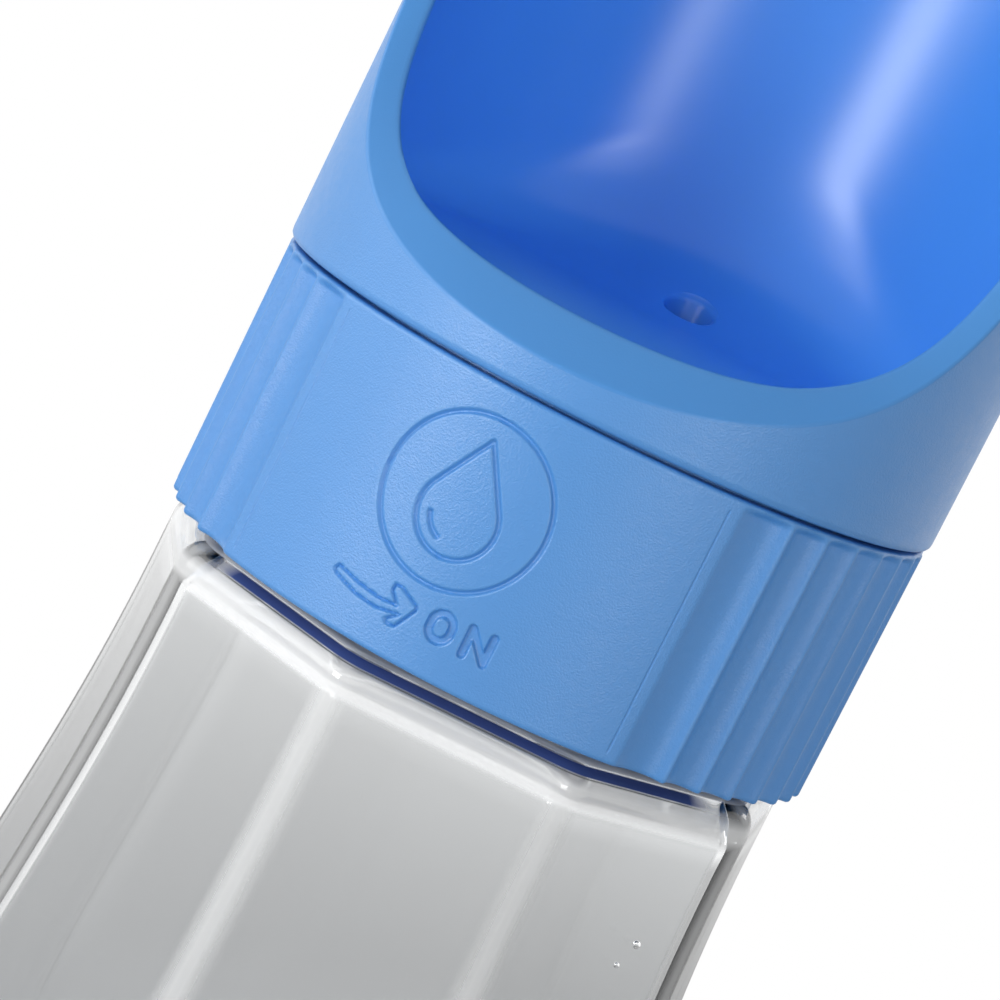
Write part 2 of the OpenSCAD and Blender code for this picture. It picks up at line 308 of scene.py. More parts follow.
def clear_plastic(name):
    """Clear moulded plastic, slightly wavy."""
    m = Nodes(name)
    wave = m.bump(m.noise(70, 2), 0.12, 0.12)
    m.link(m.bump(m.noise(420, 2), 0.05, 0.02, wave), m.shader.inputs["Normal"])
    m.link(m.spread(m.noise(300, 2), 0.0, 0.02), m.shader.inputs["Roughness"])
    m.set(IOR=1.5)
    return m


def clear_inside():
    m = clear_plastic("clear_inside")
    m.set(Base_Color=(*GLASS_TINT_AND_PAINTED_GLOW, 1), Transmission_Weight=1.0)
    return m.material


def painted_dark_bands(m, height, angle):
    """Shares of the painted reflection of the blue parts in shade and of the painted thin shadow
    line, over the front of the shoulder.
    """
    aside = m.math("PINGPONG", m.math("SUBTRACT", angle, BLUE_SIDE), math.pi)
    facing = m.ramp(aside, BLUE_HALF, BLUE_END, 1, 0)
    return [m.math("MULTIPLY", m.band(height, *values), facing) for values in (BLUE_BAND, LINE_BAND)]


def clear_outside():
    """The outer skin, with painted light seen from outside: a painted white glow on the thick
    shoulder and corners stands in for the light they gather and for the corners' highlight, and the
    shoulder's upper edge has a painted reflection of the blue parts above it in shade, as a dark
    band with a painted shadow line."""
    m = clear_plastic("clear_plastic")
    axes = m.add("ShaderNodeSeparateXYZ")
    m.link(m.place, axes.inputs[0])
    height = axes.outputs["Z"]
    angle = m.math("ARCTAN2", axes.outputs["X"], m.math("MULTIPLY", axes.outputs["Y"], -1.0))
    blue, line = painted_dark_bands(m, height, angle)
    corner = m.math("PINGPONG", m.math("SUBTRACT", angle, SIDE_TURN + HALF_SIDE), HALF_SIDE)
    edge = m.ramp(corner, CORNER_PAINTED_GLOW, CORNER_CLEAR, CORNER_SHARE, 0)
    # Share of painted light: glow on the shoulder, under the collar and on the corners, and the
    # painted dark bands
    painted_share = m.most(m.band(height, *SHOULDER_BAND), m.band(height, *TOP_BAND), edge, blue, line)
    outside = m.math("SUBTRACT", 1.0, m.add("ShaderNodeNewGeometry").outputs["Backfacing"])
    clear = m.math("SUBTRACT", 1.0, m.math("MULTIPLY", painted_share, outside))
    m.link(clear, m.shader.inputs["Transmission Weight"])
    # Painted colours: the blue parts' reflection in shade, and a near-black shadow line
    dark = m.add("ShaderNodeMix", {"B": (*LINE_SHADOW, 1)}, data_type="RGBA")
    m.link(line, dark.inputs["Factor"])
    m.link(m.mix(blue, GLASS_TINT_AND_PAINTED_GLOW, BLUE_SHADOW), dark.inputs["A"])
    m.link(dark.outputs["Result"], m.shader.inputs["Base Color"])
    return m.material


def plain_plastic(name, color, rough):
    m = Nodes(name)
    tone = m.spread(m.noise(60, 3), 0, 1)
    m.link(m.mix(tone, shade(color, 0.96), shade(color, 1.02)), m.shader.inputs["Base Color"])
    m.link(m.spread(m.noise(500, 3), rough, rough + 0.12), m.shader.inputs["Roughness"])
    m.link(m.bump(m.noise(2600, 2), 0.3, 0.01), m.shader.inputs["Normal"])
    return m.material


def rubber(name, color):
    m = Nodes(name)
    tone = m.spread(m.noise(200, 4), 0, 1)
    m.link(m.mix(tone, shade(color, 0.9), color), m.shader.inputs["Base Color"])
    m.link(m.spread(m.noise(800, 3), 0.55, 0.75), m.shader.inputs["Roughness"])
    m.link(m.bump(m.noise(3500, 3), 0.5, 0.02), m.shader.inputs["Normal"])
    return m.material


def steel(name):
    m = Nodes(name)
    turned = m.noise(900, 3, stretch=(1, 1, 12))
    m.link(m.mix(m.spread(turned, 0, 1), (0.50, 0.50, 0.51), (0.64, 0.64, 0.65)),
           m.shader.inputs["Base Color"])
    m.link(m.spread(turned, 0.24, 0.38), m.shader.inputs["Roughness"])
    m.link(m.bump(turned, 0.2, 0.01), m.shader.inputs["Normal"])
    m.set(Metallic=1.0)
    return m.material


SATIN = blue_plastic("blue_satin", BLUE, 0.34, 0.42, 5000, 0.085, 0.85)
# The hollow's blue, lighter than the outside's: painted bounce light
GLOSS = blue_plastic("blue_gloss", HOLLOW_BLUE_PAINTED_BOUNCE, 0.275, 0.285, 6000, 0.0002)
# Painted shade for the port's walls: a tenth of the hollow's blue
PORT_SHADE = blue_plastic("blue_port_painted_shade", shade(HOLLOW_BLUE_PAINTED_BOUNCE, 0.10), 0.20, 0.25, 6000, 0.0006)
RIM = blue_plastic("blue_rim", BLUE, 0.34, 0.42, 4200, 0.020)
# CLEAR holds the bottle's painted glow, painted reflection and painted shadow line
CLEAR, CLEAR_INSIDE = clear_outside(), clear_inside()
PALE = plain_plastic("pale_plastic", (0.60, 0.68, 0.78), 0.32)
WHITE_SILICONE = rubber("white_silicone", (0.72, 0.72, 0.70))
DARK_RUBBER = rubber("dark_rubber", (0.03, 0.03, 0.03))
STEEL = steel("steel")

# ---------------------------------------------------------------- the bowl

SEAM = 131.0
BOWL_H = 84.0
BOWL_R = 36.8
BOWL_WALL = 3.0
FLOOR_H = 7.5
DOME_H = 56.0
DOME_RISE = BOWL_H - DOME_H
DOME_LENGTH = 51.0                            # of the dome's outline, from its foot to the top
CAVITY_R = BOWL_R - BOWL_WALL
CAVITY_RISE = DOME_RISE - BOWL_WALL
CAVITY_SOFT = 4.0
BACK_SOFT = 2.5                               # added to the hollow's fillet at the back
BACK_START, BACK_RUN = 3.0, 16.0              # where that begins in y, and over what length
LIP_H, CREST_H = 3.65, 8.0
RIM_LEAN = 0.3
RIM_START_IN, RIM_SWEEP_IN = -33.6, 16.5
RIM_SWEEP_OUT = BOWL_R + RIM_START_IN + RIM_SWEEP_IN + RIM_LEAN * (LIP_H - CREST_H)
RIM_IN = (CREST_H, RIM_START_IN, RIM_SWEEP_IN, 8.0)   # start height, start y, sweep, softness
RIM_OUT = (LIP_H, -BOWL_R, RIM_SWEEP_OUT, 10.5)
SWEEP_Y, SWEEP_R = 11.6, 29.0
EYE_H, EYE_REACH = 40.0, 80.0                 # the inside is seen whole from this height
EDGE_POINTS, EDGE_HALVINGS, SKIN_HALVINGS = 9001, 44, 40
RIM_STATIONS = 300
BAND_ROUND, EDGE_ROUND = 0.9, 0.3             # rounding of the rim's inner and outer edge
OUT_ROWS, IN_ROWS, RIM_ROWS = 60, 110, 11
FLOOR_GAP = 0.004                             # the floor's middle stays open by this angle
DOWN_AND_BACK = np.array([0, 1, -1])
WALL_END = 0.8                                # height where the wall's foot rounding begins
SPIGOT_R, SPIGOT_IN_R, SPIGOT_H = 33.9, 31.3, -5.0
CORE_H = 4.5
UNDERSIDE = ((36.75, 0.4), (36.55, 0.12), (36.2, 0.0), (SPIGOT_R, 0.0),
             (SPIGOT_R, SPIGOT_H + 0.3), (SPIGOT_R - 0.3, SPIGOT_H), (SPIGOT_IN_R, SPIGOT_H),
             (SPIGOT_IN_R, CORE_H), (12.0, CORE_H), (0.3, CORE_H))
PORT_Y, PORT_R = 21.5, 2.8
# The port's upper edge: added to its radius, and height over the floor
PORT_FLARE = ((0, -0.55), (0.07, -0.25), (0.22, -0.08), (0.55, 0.06), (1.2, 1.5))
PORT_SOLE = CORE_H - 3                        # the drill starts below the floor
SCREW_RING, BOSS_R = 12.5, 2.9
SCREW_ANGLES = (90, 210, 330)
PLATE_TOP, SEAL_R, SEAL_T, PORT_TUBE_R = 123.0, 4.6, 1.4, 6.0
RIB_START, RIB_HALF, RIB_LOW = 15.0, 0.7, 1.5
SINK = 0.05                                   # how far these forms reach into the bowl


def outer_r(h):
    dome = np.sqrt(np.clip(1 - (np.maximum(h - DOME_H, 0) / DOME_RISE) ** 2, 0, 1))
    return BOWL_R * dome


def inner_r(h):
    foot = CAVITY_R - CAVITY_SOFT + np.sqrt(np.clip(
        CAVITY_SOFT ** 2 - (FLOOR_H + CAVITY_SOFT - np.maximum(h, FLOOR_H)) ** 2, 0, None))
    dome = CAVITY_R * np.sqrt(np.clip(1 - (np.maximum(h - DOME_H, 0) / CAVITY_RISE) ** 2, 0, 1))
    return np.where(h < FLOOR_H + CAVITY_SOFT, foot, dome)


def rim_y(h, start_h, start_y, sweep, soft):
    """Side view of the rim: how far back one of its edges stands at height h."""
    return start_y + RIM_LEAN * (h - start_h) + sweep * (1 - np.exp(-(h - start_h) / soft))


def edge_curve(numbers, radius, low, high):
    """The rim's edge from the lip round to the top, in dense points."""
    a = np.radians(np.linspace(0, 180, EDGE_POINTS))
    low, high = np.full_like(a, low), np.full_like(a, high)
    for _ in range(EDGE_HALVINGS):
        mid = (low + high) / 2
        outside = rim_y(mid, *numbers) + radius(mid) * np.cos(a) > 0
        high = np.where(outside, mid, high)
        low = np.where(outside, low, mid)
    return polar(radius(low), a, low)


def along(curve, places):
    """Points of a dense curve at given lengths from its start."""
    steps = np.linalg.norm(np.diff(curve, axis=0), axis=1)
    length = np.concatenate([[0], np.cumsum(steps)])
    return np.stack([np.interp(places * length[-1], length, curve[:, k]) for k in range(3)], axis=-1)


def rim_edges():
    """Matching points of the outer and inner edge, square across the rim."""
    outer_curve = edge_curve(RIM_OUT, outer_r, LIP_H - 0.5, BOWL_H)
    inner_curve = edge_curve(RIM_IN, inner_r, CREST_H - 0.3, BOWL_H - BOWL_WALL)
    outer = along(outer_curve, np.linspace(0, 1, RIM_STATIONS))
    nearest = np.array([((inner_curve - p) ** 2).sum(axis=1).argmin() for p in outer], float)
    nearest = np.maximum.accumulate(nearest)
    reach = 12
    padded = np.concatenate([-nearest[reach:0:-1], nearest,
                             2 * nearest[-1] - nearest[-2:-reach - 2:-1]])
    smooth = np.convolve(padded, np.ones(2 * reach + 1) / (2 * reach + 1), "valid")
    smooth[0], smooth[-1] = 0, len(inner_curve) - 1
    index = np.clip(smooth, 0, len(inner_curve) - 1)
    inner = np.stack([np.interp(index, np.arange(len(inner_curve)), inner_curve[:, k])
                      for k in range(3)], axis=-1)
    return outer, inner


def cavity_gap(p):
    """Below zero in the hollow, zero on its skin, for points above the seam."""
    x, y, h = p[..., 0], p[..., 1], p[..., 2]
    r = np.hypot(x, y)
    top = (np.hypot(r / CAVITY_R, (h - DOME_H) / CAVITY_RISE) - 1) * CAVITY_RISE
    wall = np.where(h > DOME_H, top, r - CAVITY_R)
    centre_h = FLOOR_H + SWEEP_R
    floor = np.where(y < SWEEP_Y, FLOOR_H - h,
                     np.where(h < centre_h, np.hypot(y - SWEEP_Y, h - centre_h) - SWEEP_R,
                              y - SWEEP_Y - SWEEP_R))
    soft = CAVITY_SOFT + BACK_SOFT * smooth_step((y - BACK_START) / BACK_RUN)
    u = np.maximum(wall + soft, 0)
    v = np.maximum(floor + soft, 0)
    return np.minimum(-soft, np.maximum(wall, floor)) + np.hypot(u, v)


def cavity_points(a, e):
    """Where rays from the eye point, at angle a and elevation e, meet the hollow's skin."""
    ray = np.stack([np.cos(e) * np.sin(a), -np.cos(e) * np.cos(a), np.sin(e)], axis=-1)
    eye = np.array([0, 0, EYE_H])
    near, far = np.zeros(np.shape(a)), np.full(np.shape(a), EYE_REACH)
    for _ in range(SKIN_HALVINGS):
        mid = (near + far) / 2
        inside = cavity_gap(eye + ray * mid[..., None]) < 0
        near, far = np.where(inside, mid, near), np.where(inside, far, mid)
    return eye + ray * near[..., None]


def to_eye_angles(p):
    """Angle and elevation at which the eye point sees points."""
    r = np.hypot(p[..., 0], p[..., 1])
    return np.arctan2(p[..., 0], -p[..., 1]), np.arctan2(p[..., 2] - EYE_H, r)


def wall_points(a, u):
    """Points on the outside: u is the height, and counts round the dome above DOME_H."""
    t = np.clip((u - DOME_H) / DOME_LENGTH, 0, 1) * math.pi / 2
    r = np.where(u > DOME_H, BOWL_R * np.cos(t), BOWL_R)
    return polar(r, a, np.where(u > DOME_H, DOME_H + DOME_RISE * np.sin(t), u))


def to_wall_angles(p):
    """Angle and u of points on the outside, as wall_points takes them."""
    a = np.arctan2(p[..., 0], -p[..., 1])
    t = np.arcsin(np.clip((p[..., 2] - DOME_H) / DOME_RISE, 0, 1))
    return a, np.where(p[..., 2] > DOME_H, DOME_H + DOME_LENGTH * t / (math.pi / 2), p[..., 2])


def off_the_rim(edge, normal):
    """Unit steps off an edge of the rim, square to it and along the skin, down or back."""
    way = unit(np.cross(unit(np.gradient(edge, axis=0)), unit(normal)))
    return way * np.sign((way * DOWN_AND_BACK).sum(axis=-1, keepdims=True))


def outside_start(outer):
    """Where the outside begins, past the rounding of the rim's outer edge."""
    dome = np.maximum(outer[:, 2] - DOME_H, 0)
    normal = np.stack([outer[:, 0] / BOWL_R ** 2, outer[:, 1] / BOWL_R ** 2,
                       dome / DOME_RISE ** 2], axis=-1)
    return wall_points(*to_wall_angles(outer + off_the_rim(outer, normal) * EDGE_ROUND))


def inside_start(inner, step=0.05):
    """Where the hollow begins, past the rounding of the rim's inner edge."""
    normal = np.stack([cavity_gap(inner + step * axis) - cavity_gap(inner - step * axis)
                       for axis in np.eye(3)], axis=-1)
    return cavity_points(*to_eye_angles(inner + off_the_rim(inner, normal) * BAND_ROUND))


def bowl_sections():
    """Half of the bowl's skin as rows of points, from the drain floor out to the underside."""
    outer, inner = rim_edges()
    back = np.radians(np.linspace(0, 180, len(outer)))
    band = unit(inner - outer)
    band_in, band_out = inner - band * BAND_ROUND, outer + band * EDGE_ROUND
    in_start, out_start = inside_start(inner), outside_start(outer)
    t = 1 - np.linspace(1, 0, IN_ROWS)[:-1, None]
    a0, e0 = to_eye_angles(in_start)
    lowest = FLOOR_GAP - math.pi / 2
    s = np.linspace(0, 1, OUT_ROWS)[1:, None]
    a1, u1 = to_wall_angles(out_start)
    rows = [cavity_points(back + (a0 - back) * t, lowest + (e0 - lowest) * t),
            bezier(in_start, inner, band_in, 5),
            ((band_in + band_out) / 2)[None],
            bezier(band_out, outer, out_start, 4),
            wall_points(a1 + (back - a1) * s, u1 + (WALL_END - u1) * s)]
    rows += [polar(r, back, h)[None] for r, h in UNDERSIDE]
    return np.vstack(rows)


def bowl_skin():
    half = bowl_sections()
    other = half[:, -2:0:-1] * np.array([-1, 1, 1])
    rings = np.concatenate([half, other], axis=1)
    rings[..., 2] += SEAM
    points, faces = loft(rings)
    gaps, columns = rings.shape[0] - 1, rings.shape[1]
    inside = IN_ROWS - 1
    row_slots = [0] * inside + [1] * RIM_ROWS + [2] * (gaps - inside - RIM_ROWS)
    slots = [slot for slot in row_slots for _ in range(columns)]
    return points, faces, slots + [0, 2] * columns


def tube_points(x, y, r, z0, z1, count=32):
    """An upright round bar as a closed skin."""
    a = np.linspace(0, 2 * math.pi, count, endpoint=False)
    ring = np.stack([x + r * np.cos(a), y + r * np.sin(a), np.zeros(count)], axis=-1)
    return loft(np.stack([ring + [0, 0, z] for z in (z0, z1)]))


def ring_points(profile, centre, count=48):
    """A closed outline of (radius, height) turned round an upright axis."""
    a = np.linspace(0, 2 * math.pi, count, endpoint=False)
    r, z = np.array(profile, float).T
    rings = polar(r[:, None], a[None], z[:, None]) + np.array([centre[0], centre[1], 0])
    n = len(r)
    faces = [(i * count + j, i * count + (j + 1) % count,
              (i + 1) % n * count + (j + 1) % count, (i + 1) % n * count + j)
             for i in range(n) for j in range(count)]
    return rings.reshape(-1, 3), faces


def bar_points(angle, r0, r1, half, z0, z1):
    """A flat rib that runs outwards from the axis; angle counts from +X."""
    out = np.array([math.cos(math.radians(angle)), math.sin(math.radians(angle))])
    side = np.array([-out[1], out[0]])
    corners = [out * r + side * w for r, w in ((r0, -half), (r1, -half), (r1, half), (r0, half))]
    points = np.array([[*c, z] for z in (z0, z1) for c in corners])
    return points, [(3, 2, 1, 0), (4, 5, 6, 7)] + grid_faces(2, 4)


def make_bowl():
    points, faces, slots = bowl_skin()
    bowl = add_piece("drinking_bowl", points, faces, [GLOSS, RIM, SATIN], slots)
    cut_port(bowl)
    return bowl


def cut_port(bowl):
    """Drills the water port, with a softened upper edge that lies in the sloping floor."""
    floor = SEAM + FLOOR_H + SWEEP_R - math.sqrt(SWEEP_R ** 2 - (PORT_Y - SWEEP_Y) ** 2)
    tilt = math.asin((PORT_Y - SWEEP_Y) / SWEEP_R)
    a = np.linspace(0, 2 * math.pi, 64, endpoint=False)
    profile = [(PORT_R, SEAM + PORT_SOLE, 0)]
    profile += [(PORT_R + dr, floor + dz, 1) for dr, dz in PORT_FLARE]
    rings = []
    for r, z, share in profile:
        y = PORT_Y + r * np.sin(a)
        lift = share * math.tan(tilt) * (y - PORT_Y)
        rings.append(np.stack([r * np.cos(a), y, z + lift], axis=-1))
    points, faces = loft(np.array(rings))
    # The drill's dark blue goes onto the port's walls: painted shade in the hole
    drill = add_piece("drill", points, faces, [PORT_SHADE])
    cut = bowl.modifiers.new("port", "BOOLEAN")
    cut.operation, cut.solver, cut.object = "DIFFERENCE", "EXACT", drill
    apply_modifiers(bowl)
    bpy.data.objects.remove(drill)
    bowl.data.set_sharp_from_angle(angle=math.radians(40))


def apply_modifiers(piece):
    graph = bpy.context.evaluated_depsgraph_get()
    mesh = bpy.data.meshes.new_from_object(piece.evaluated_get(graph))
    piece.modifiers.clear()
    piece.data = mesh


ride(make_bowl(), "head", "blue_plastic", "bowl")


def bowl_underside():
    """Screw bosses, stiffening ribs and the port's tube, under the bowl's floor."""
    top = SEAM + CORE_H + SINK
    low = SEAM + SPIGOT_H
    parts = []
    for angle in SCREW_ANGLES:
        x = SCREW_RING * math.cos(math.radians(angle))
        y = SCREW_RING * math.sin(math.radians(angle))
        parts.append(tube_points(x, y, BOSS_R, PLATE_TOP, top))
    for angle in range(30, 390, 60):
        parts.append(bar_points(angle, RIB_START, SPIGOT_IN_R + SINK, RIB_HALF, low + RIB_LOW, top))
    tube = ((PORT_R, top), (PORT_R, low + SEAL_T), (SEAL_R, low + SEAL_T), (SEAL_R, low),
            (PORT_TUBE_R, low), (PORT_TUBE_R, top))
    parts.append(ring_points(tube, (0, PORT_Y)))
    points, faces = join(parts)
    return add_piece("bowl_underside", points, faces, [SATIN])


ride(bowl_underside(), "head", "blue_plastic")

# --------------------------------------------------------------- the collar

COLLAR_Z, COLLAR_TOP = 102.0, 130.6
COLLAR_R, COLLAR_IN_R = 36.5, 34.3
LEDGE_R, LEDGE_Z, LEDGE_T = 31.6, 123.3, 1.2
PANEL = math.radians(78)
FLUTES = 37
FLUTE_DEPTH = 1.0
RIDGE_W = 0.35
LONG_SLOPE = 1.6            # how much longer the last flute's slope is towards the panel
PARTING = math.radians(35.0)
FLUTE_PITCH = (2 * math.pi - PANEL) / FLUTES
EDGE_ROUND_C = 0.45
PARTING_DEPTH, PARTING_HALF, PARTING_SIDE = 0.09, 0.16, 0.13
# Within EDGE_TOP of the upper edge the flutes keep EDGE_SHARE of their depth, and
# all of it EDGE_RUN further down.
EDGE_TOP, EDGE_RUN, EDGE_SHARE = 0.25, 0.9, 0.12
COLLAR_INSIDE = (           # radius and height, from the upper edge down
    (COLLAR_IN_R + 0.3, COLLAR_TOP), (COLLAR_IN_R, COLLAR_TOP - 0.3),
    (COLLAR_IN_R, LEDGE_Z + LEDGE_T), (LEDGE_R + 0.2, LEDGE_Z + LEDGE_T),
    (LEDGE_R, LEDGE_Z + LEDGE_T - 0.2), (LEDGE_R, LEDGE_Z + 0.2), (LEDGE_R + 0.2, LEDGE_Z),
    (COLLAR_IN_R, LEDGE_Z), (COLLAR_IN_R, COLLAR_Z + 0.3), (COLLAR_IN_R + 0.3, COLLAR_Z))

# Mesh steps round the collar; the marked middle of the panel has the finest ones
MARK_HALF, MARK_STEP, PANEL_STEP, ROW_STEP = 14.0, 0.12, 0.3, 0.13
PARTING_STEPS = np.array([-0.2, -0.15, -0.1, -0.04, 0.04, 0.1, 0.15, 0.2])
FLUTE_STEPS = np.array([0, 0.036, 0.08, 0.15, 0.25, 0.37, 0.5, 0.63, 0.75, 0.85, 0.92, 0.964])

# Half width, depth and soft side of the marks' grooves, and places on the panel
LINE_GROOVE = (0.20, 0.34, 0.14)
ARROW_GROOVE = (0.11, 0.30, 0.10)
LETTER_GROOVE = (0.38, 0.42, 0.10)
SIGN_AT, SIGN_R = np.array([-1.0, 119.0]), 8.6
DROP_LOW, DROP_R, DROP_TIP, GLINT_R = -1.6, 4.1, 6.4, 2.7
ARROW_AT = np.array([-4.34, 107.08])
LETTERS_AT = np.array([2.3, 107.35])
# A bent arrow that points to the open side, as one closed line
ARROW = np.array((
    (-5.14, -0.11), (-5.54, 0.22), (-5.22, 0.75), (-2.6, 0.22), (0.0, -0.05), (1.9, 0.13),
    (0.88, 1.19), (0.9, 1.87), (1.62, 1.94), (3.72, 0.92), (3.76, 0.5), (2.55, -1.76),
    (1.71, -1.86), (1.4, -1.53), (2.52, -0.53), (0.03, -1.02), (-2.53, -0.82), (-5.14, -0.11)))


def flute_depth(a):
    """Depth of the finger flutes: round hollows that meet in soft ridges. The first and
    last one run out towards the panel in a longer slope."""
    a = np.mod(a, 2 * math.pi)
    place = (a - PANEL / 2) / FLUTE_PITCH
    number = np.clip(np.floor(place), 0, FLUTES - 1)
    offset = place - number - 0.5
    long_side = ((number == 0) & (offset < 0)) | ((number == FLUTES - 1) & (offset > 0))
    s = np.where(long_side, offset / LONG_SLOPE, offset) * FLUTE_PITCH * COLLAR_R
    width = COLLAR_R * FLUTE_PITCH - RIDGE_W
    r = (width ** 2 / 4 + FLUTE_DEPTH ** 2) / (2 * FLUTE_DEPTH)
    depth = FLUTE_DEPTH - r + np.sqrt(np.maximum(r * r - s * s, 0))
    soft = 0.5 * (depth + np.sqrt(depth ** 2 + 0.05 ** 2))
    return np.where(np.abs(s) < FLUTE_PITCH * COLLAR_R / 2, soft, 0)


def to_bar(p, a, b):
    """Distance of points from the straight line between a and b."""
    a, b = np.array(a, float), np.array(b, float)
    run = b - a
    t = np.clip(((p - a) @ run) / (run @ run), 0, 1)
    return np.linalg.norm(p - a - t[..., None] * run, axis=-1)


def to_chain(p, chain):
    return np.min([to_bar(p, a, b) for a, b in zip(chain[:-1], chain[1:])], axis=0)


def arc_chain(x, y, r, start, end, count=24):
    t = np.radians(np.linspace(start, end, count))
    return np.stack([x + r * np.cos(t), y + r * np.sin(t)], axis=-1)


def groove(distance, half, depth, wall):
    """A recess with a flat floor and soft sides round the given line."""
    return depth * smooth_step((half + wall - distance) / (2 * wall))


def marks(s, z):
    """Depth of the panel's marks: ring and drop, arrow, and the open mark."""
    p = np.stack([s, z], axis=-1)
    q = p - SIGN_AT
    ring = np.abs(np.hypot(q[..., 0], q[..., 1]) - SIGN_R)
    drop = np.abs(drop_distance(q))
    glint = to_chain(q, arc_chain(0, DROP_LOW, GLINT_R, 195, 250, 8))
    arrow = to_chain(p - ARROW_AT, ARROW)
    letters = np.minimum(to_letter_o(p - LETTERS_AT), to_letter_n(p - LETTERS_AT))
    grooves = [groove(line, *LINE_GROOVE) for line in (ring, drop, glint)]
    grooves += [groove(arrow, *ARROW_GROOVE), groove(letters, *LETTER_GROOVE)]
    return np.max(grooves, axis=0)


def drop_distance(q):
    """Signed distance from the outline of a water drop, point upwards."""
    x, y = np.abs(q[..., 0]), q[..., 1]
    slant = math.asin(DROP_R / (DROP_TIP - DROP_LOW))
    round_part = np.hypot(x, y - DROP_LOW) - DROP_R
    straight = x * math.cos(slant) + (y - DROP_TIP) * math.sin(slant)
    along_side = -(y - DROP_TIP) * math.cos(slant) + x * math.sin(slant)
    above = along_side < (DROP_TIP - DROP_LOW) * math.cos(slant)
    return np.where(above, np.where(along_side > 0, straight, np.hypot(x, y - DROP_TIP)), round_part)


def to_letter_o(p):
    straight = np.clip(p[..., 1], -0.25, 0.25)
    return np.abs(np.hypot(p[..., 0], p[..., 1] - straight) - 1.08)


def to_letter_n(p):
    return to_chain(p, [(2.85, -1.35), (2.85, 1.35), (5.1, -1.35), (5.1, 1.35)])


def panel_line(a, z):
    """Fine parting line where the smooth panel ends."""
    s = np.abs((np.abs(np.mod(a + math.pi, 2 * math.pi) - math.pi) - PARTING) * COLLAR_R)
    fade = smooth_step((COLLAR_TOP - 1.2 - z) / 0.4) * smooth_step((z - COLLAR_Z - 1.0) / 0.4)
    return PARTING_DEPTH * fade * smooth_step((PARTING_HALF - s) / PARTING_SIDE)


def collar_columns():
    """Angles round the collar: the marked middle, the panel's sides and the flutes."""
    fine = np.arange(-MARK_HALF, MARK_HALF + 0.01, MARK_STEP) / COLLAR_R
    side = np.arange(MARK_HALF + PANEL_STEP, COLLAR_R * PANEL / 2 - 0.1, PANEL_STEP) / COLLAR_R
    line = PARTING + PARTING_STEPS / COLLAR_R
    side = np.sort(np.concatenate([side[np.abs(side - PARTING) > 0.25 / COLLAR_R], line]))
    waves = PANEL / 2 + ((np.arange(FLUTES)[:, None] + FLUTE_STEPS) * FLUTE_PITCH).ravel()
    return np.concatenate([fine, side, waves, 2 * math.pi - side[::-1]])


def collar_rows():
    """Inset and height of the outside's rows, rounded at both edges."""
    c = EDGE_ROUND_C
    t = np.radians(np.linspace(0, 90, 5))
    low = [(c * (1 - np.sin(x)), COLLAR_Z + c * (1 - np.cos(x))) for x in t]
    high = [(c * (1 - np.cos(x)), COLLAR_TOP - c * (1 - np.sin(x))) for x in t]
    middle = [(0, z) for z in np.arange(COLLAR_Z + c + 0.12, COLLAR_TOP - c - 0.05, ROW_STEP)]
    inset, z = np.array(low + middle + high).T
    return inset[:, None], z[:, None]


def collar_rings():
    a = collar_columns()[None]
    inset, z = collar_rows()
    s = (np.mod(a + math.pi, 2 * math.pi) - math.pi) * COLLAR_R
    s, heights = np.broadcast_arrays(s, z)
    near = np.abs(s) < MARK_HALF
    cut = np.zeros(s.shape)
    cut[near] = marks(s[near], heights[near])
    full = smooth_step((COLLAR_TOP - EDGE_TOP - z) / EDGE_RUN)
    waves = flute_depth(a) * (EDGE_SHARE + (1 - EDGE_SHARE) * full)
    outside = polar(COLLAR_R - inset - waves - cut - panel_line(a, z), a, z)
    inside = np.stack([round_ring(a[0], r, z) for r, z in COLLAR_INSIDE])
    return np.concatenate([outside, inside])


def make_collar():
    rings = collar_rings()
    rows, columns = rings.shape[:2]
    faces = [tuple(v % (rows * columns) for v in face) for face in grid_faces(rows + 1, columns)]
    parts = [(rings.reshape(-1, 3), faces)] + [key_block(math.radians(45 + 90 * i)) for i in range(4)]
    points, faces = join(parts)
    return add_piece("fluted_collar", points, faces, [SATIN], sharp=50)


def key_block(a):
    """One of the keys that turn the valve disc."""
    r0, r1, half, z0, z1 = 32.6, 34.6, 2.5, LEDGE_Z + LEDGE_T - 0.05, LEDGE_Z + 2.4
    out = np.array([math.sin(a), -math.cos(a)])
    side = np.array([math.cos(a), math.sin(a)])
    points = []
    for z, trim in ((z0, 0), (z1 - 0.2, 0), (z1, 0.2)):
        w = half - trim
        for r, across in ((r0 + trim, -w), (r1, -w), (r1, w), (r0 + trim, w)):
            points.append([*(out * r + side * across), z])
    faces = [(0, 3, 2, 1), (8, 9, 10, 11)] + grid_faces(3, 4)
    return np.array(points), faces


ride(make_collar(), "collar", "blue_satin_plastic", "twist_collar")

# --------------------------------------------------------------- the bottle

BOTTLE_H = 101.0
SHOULDER_R, SWELL, WIDEST_Z, BASE_SLIM = 36.1, 4.4, 34.0, 1.5
CORNER_FROM = 0.82                            # a side is flat over this share of its half
BOTTLE_WALL = 2.2
BASE_SOFT, SHOULDER_SOFT = 4.5, 3.0
PUSH_UP_R, PUSH_UP_H = 25.0, 2.2
NECK_R, NECK_TOP, NECK_WALL = 27.0, 119.0, 2.4
OUT_FILLET, IN_FILLET = 6.0, 4.0
THREAD_LEAD, THREAD_TURNS = 6.0, 1.5
THREAD_RISE, THREAD_START = 1.0, 105.5
THREAD_HALF, THREAD_SIDE, THREAD_TAPER = 1.15, 0.75, 0.35
CAP_FOOT, CAP_RIDGE, CAP_TAPER = 28.5, 27.4, 0.4   # the matching thread inside the cap
LIP_SOFT = 0.6


